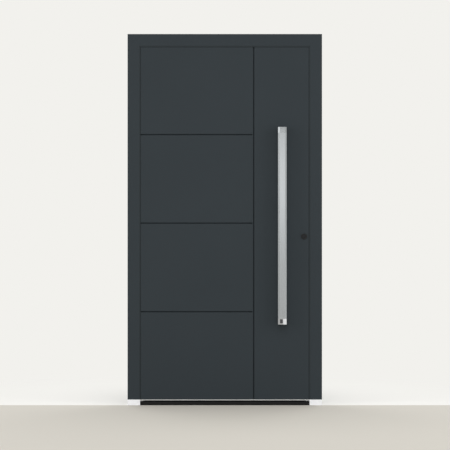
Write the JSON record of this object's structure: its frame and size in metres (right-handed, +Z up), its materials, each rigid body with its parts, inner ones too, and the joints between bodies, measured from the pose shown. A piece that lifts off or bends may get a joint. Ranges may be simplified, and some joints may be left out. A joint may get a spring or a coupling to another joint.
{
  "type": "aluminium entrance door",
  "caption": "Flush aluminium entrance door in anthracite grey with a long vertical pull bar, set in its frame over a low threshold, opening inwards on barrel hinges",
  "frame": {"origin": "on the floor, in the middle of the frame width and of the frame depth", "axes": "X along the door, to the right seen from outside; Y from outside to inside; Z up"},
  "size_m": [1.1, 0.2125, 2.1],
  "materials": {
    "anthracite_coating": "smooth matt powder coat in anthracite grey on aluminium",
    "edge_coating": "matt powder coat on the leaf edge profiles",
    "thermal_break_plastic": "black glass-filled polyamide",
    "white_plastic": "white moulded plastic",
    "threshold_plastic": "black threshold plastic",
    "dark_anodised_aluminium": "dark anodised aluminium",
    "black_rubber": "black seal rubber",
    "grey_rubber": "dark grey seal rubber",
    "bare_aluminium": "natural anodised aluminium",
    "rigid_foam": "rigid insulating foam",
    "brushed_stainless": "brushed stainless steel",
    "polished_stainless": "polished stainless steel",
    "dark_inset": "dark plug",
    "black_coating": "black coating",
    "nickel_plate": "nickel plated brass",
    "satin_stainless": "satin stainless steel",
    "plain_stainless": "stainless steel strip",
    "bolt_steel": "hardened steel",
    "hinge_coating": "anthracite coated hinge metal"
  },
  "bodies": {
    "frame": {"bottom_hinge_frame_side": "hinge_coating", "head_inner_profile": "anthracite_coating", "head_outer_profile": "anthracite_coating", "head_thermal_break": "thermal_break_plastic", "hinge_jamb_inner_profile": "anthracite_coating", "hinge_jamb_outer_profile": "anthracite_coating", "hinge_jamb_thermal_break": "thermal_break_plastic", "hinge_side_foot_block": "white_plastic", "lock_jamb_inner_profile": "anthracite_coating", "lock_jamb_outer_profile": "anthracite_coating", "lock_jamb_thermal_break": "thermal_break_plastic", "lock_side_foot_block": "white_plastic", "lower_strike_plate": "plain_stainless", "main_strike_plate": "plain_stainless", "middle_hinge_frame_side": "hinge_coating", "reveal_seal": "grey_rubber", "stop_seal": "black_rubber", "threshold_base": "threshold_plastic", "threshold_tread": "dark_anodised_aluminium", "top_hinge_frame_side": "hinge_coating", "upper_strike_plate": "plain_stainless"},
    "leaf": {"bottom_hinge_leaf_side": "hinge_coating", "bottom_rail": "bare_aluminium", "bottom_seal": "black_rubber", "dead_bolt": "bolt_steel", "foam_core": "rigid_foam", "hinge_edge_profile": "edge_coating", "hook_bolts": "bolt_steel", "inner_rosette": "satin_stainless", "inner_skin": "anthracite_coating", "inside_lever": "satin_stainless", "latch_bolt": "bolt_steel", "lever_rosette": "satin_stainless", "lock_cylinder": "nickel_plate", "lock_edge_profile": "edge_coating", "lock_faceplate": "plain_stainless", "middle_hinge_leaf_side": "hinge_coating", "outer_rosette": "black_coating", "outer_skin": "anthracite_coating", "pull_bar": "brushed_stainless", "pull_inset": "dark_inset", "pull_lower_end": "polished_stainless", "pull_upper_foot": "brushed_stainless", "top_edge_profile": "edge_coating", "top_hinge_leaf_side": "hinge_coating"}
  },
  "joints": [
    {"name": "leaf_swing", "type": "hinge", "parent": "frame", "child": "leaf", "pos_m": [-0.50125, 0.056, 1.05], "axis": [0, 0, 1], "range_deg": [0, 105]}
  ]
}
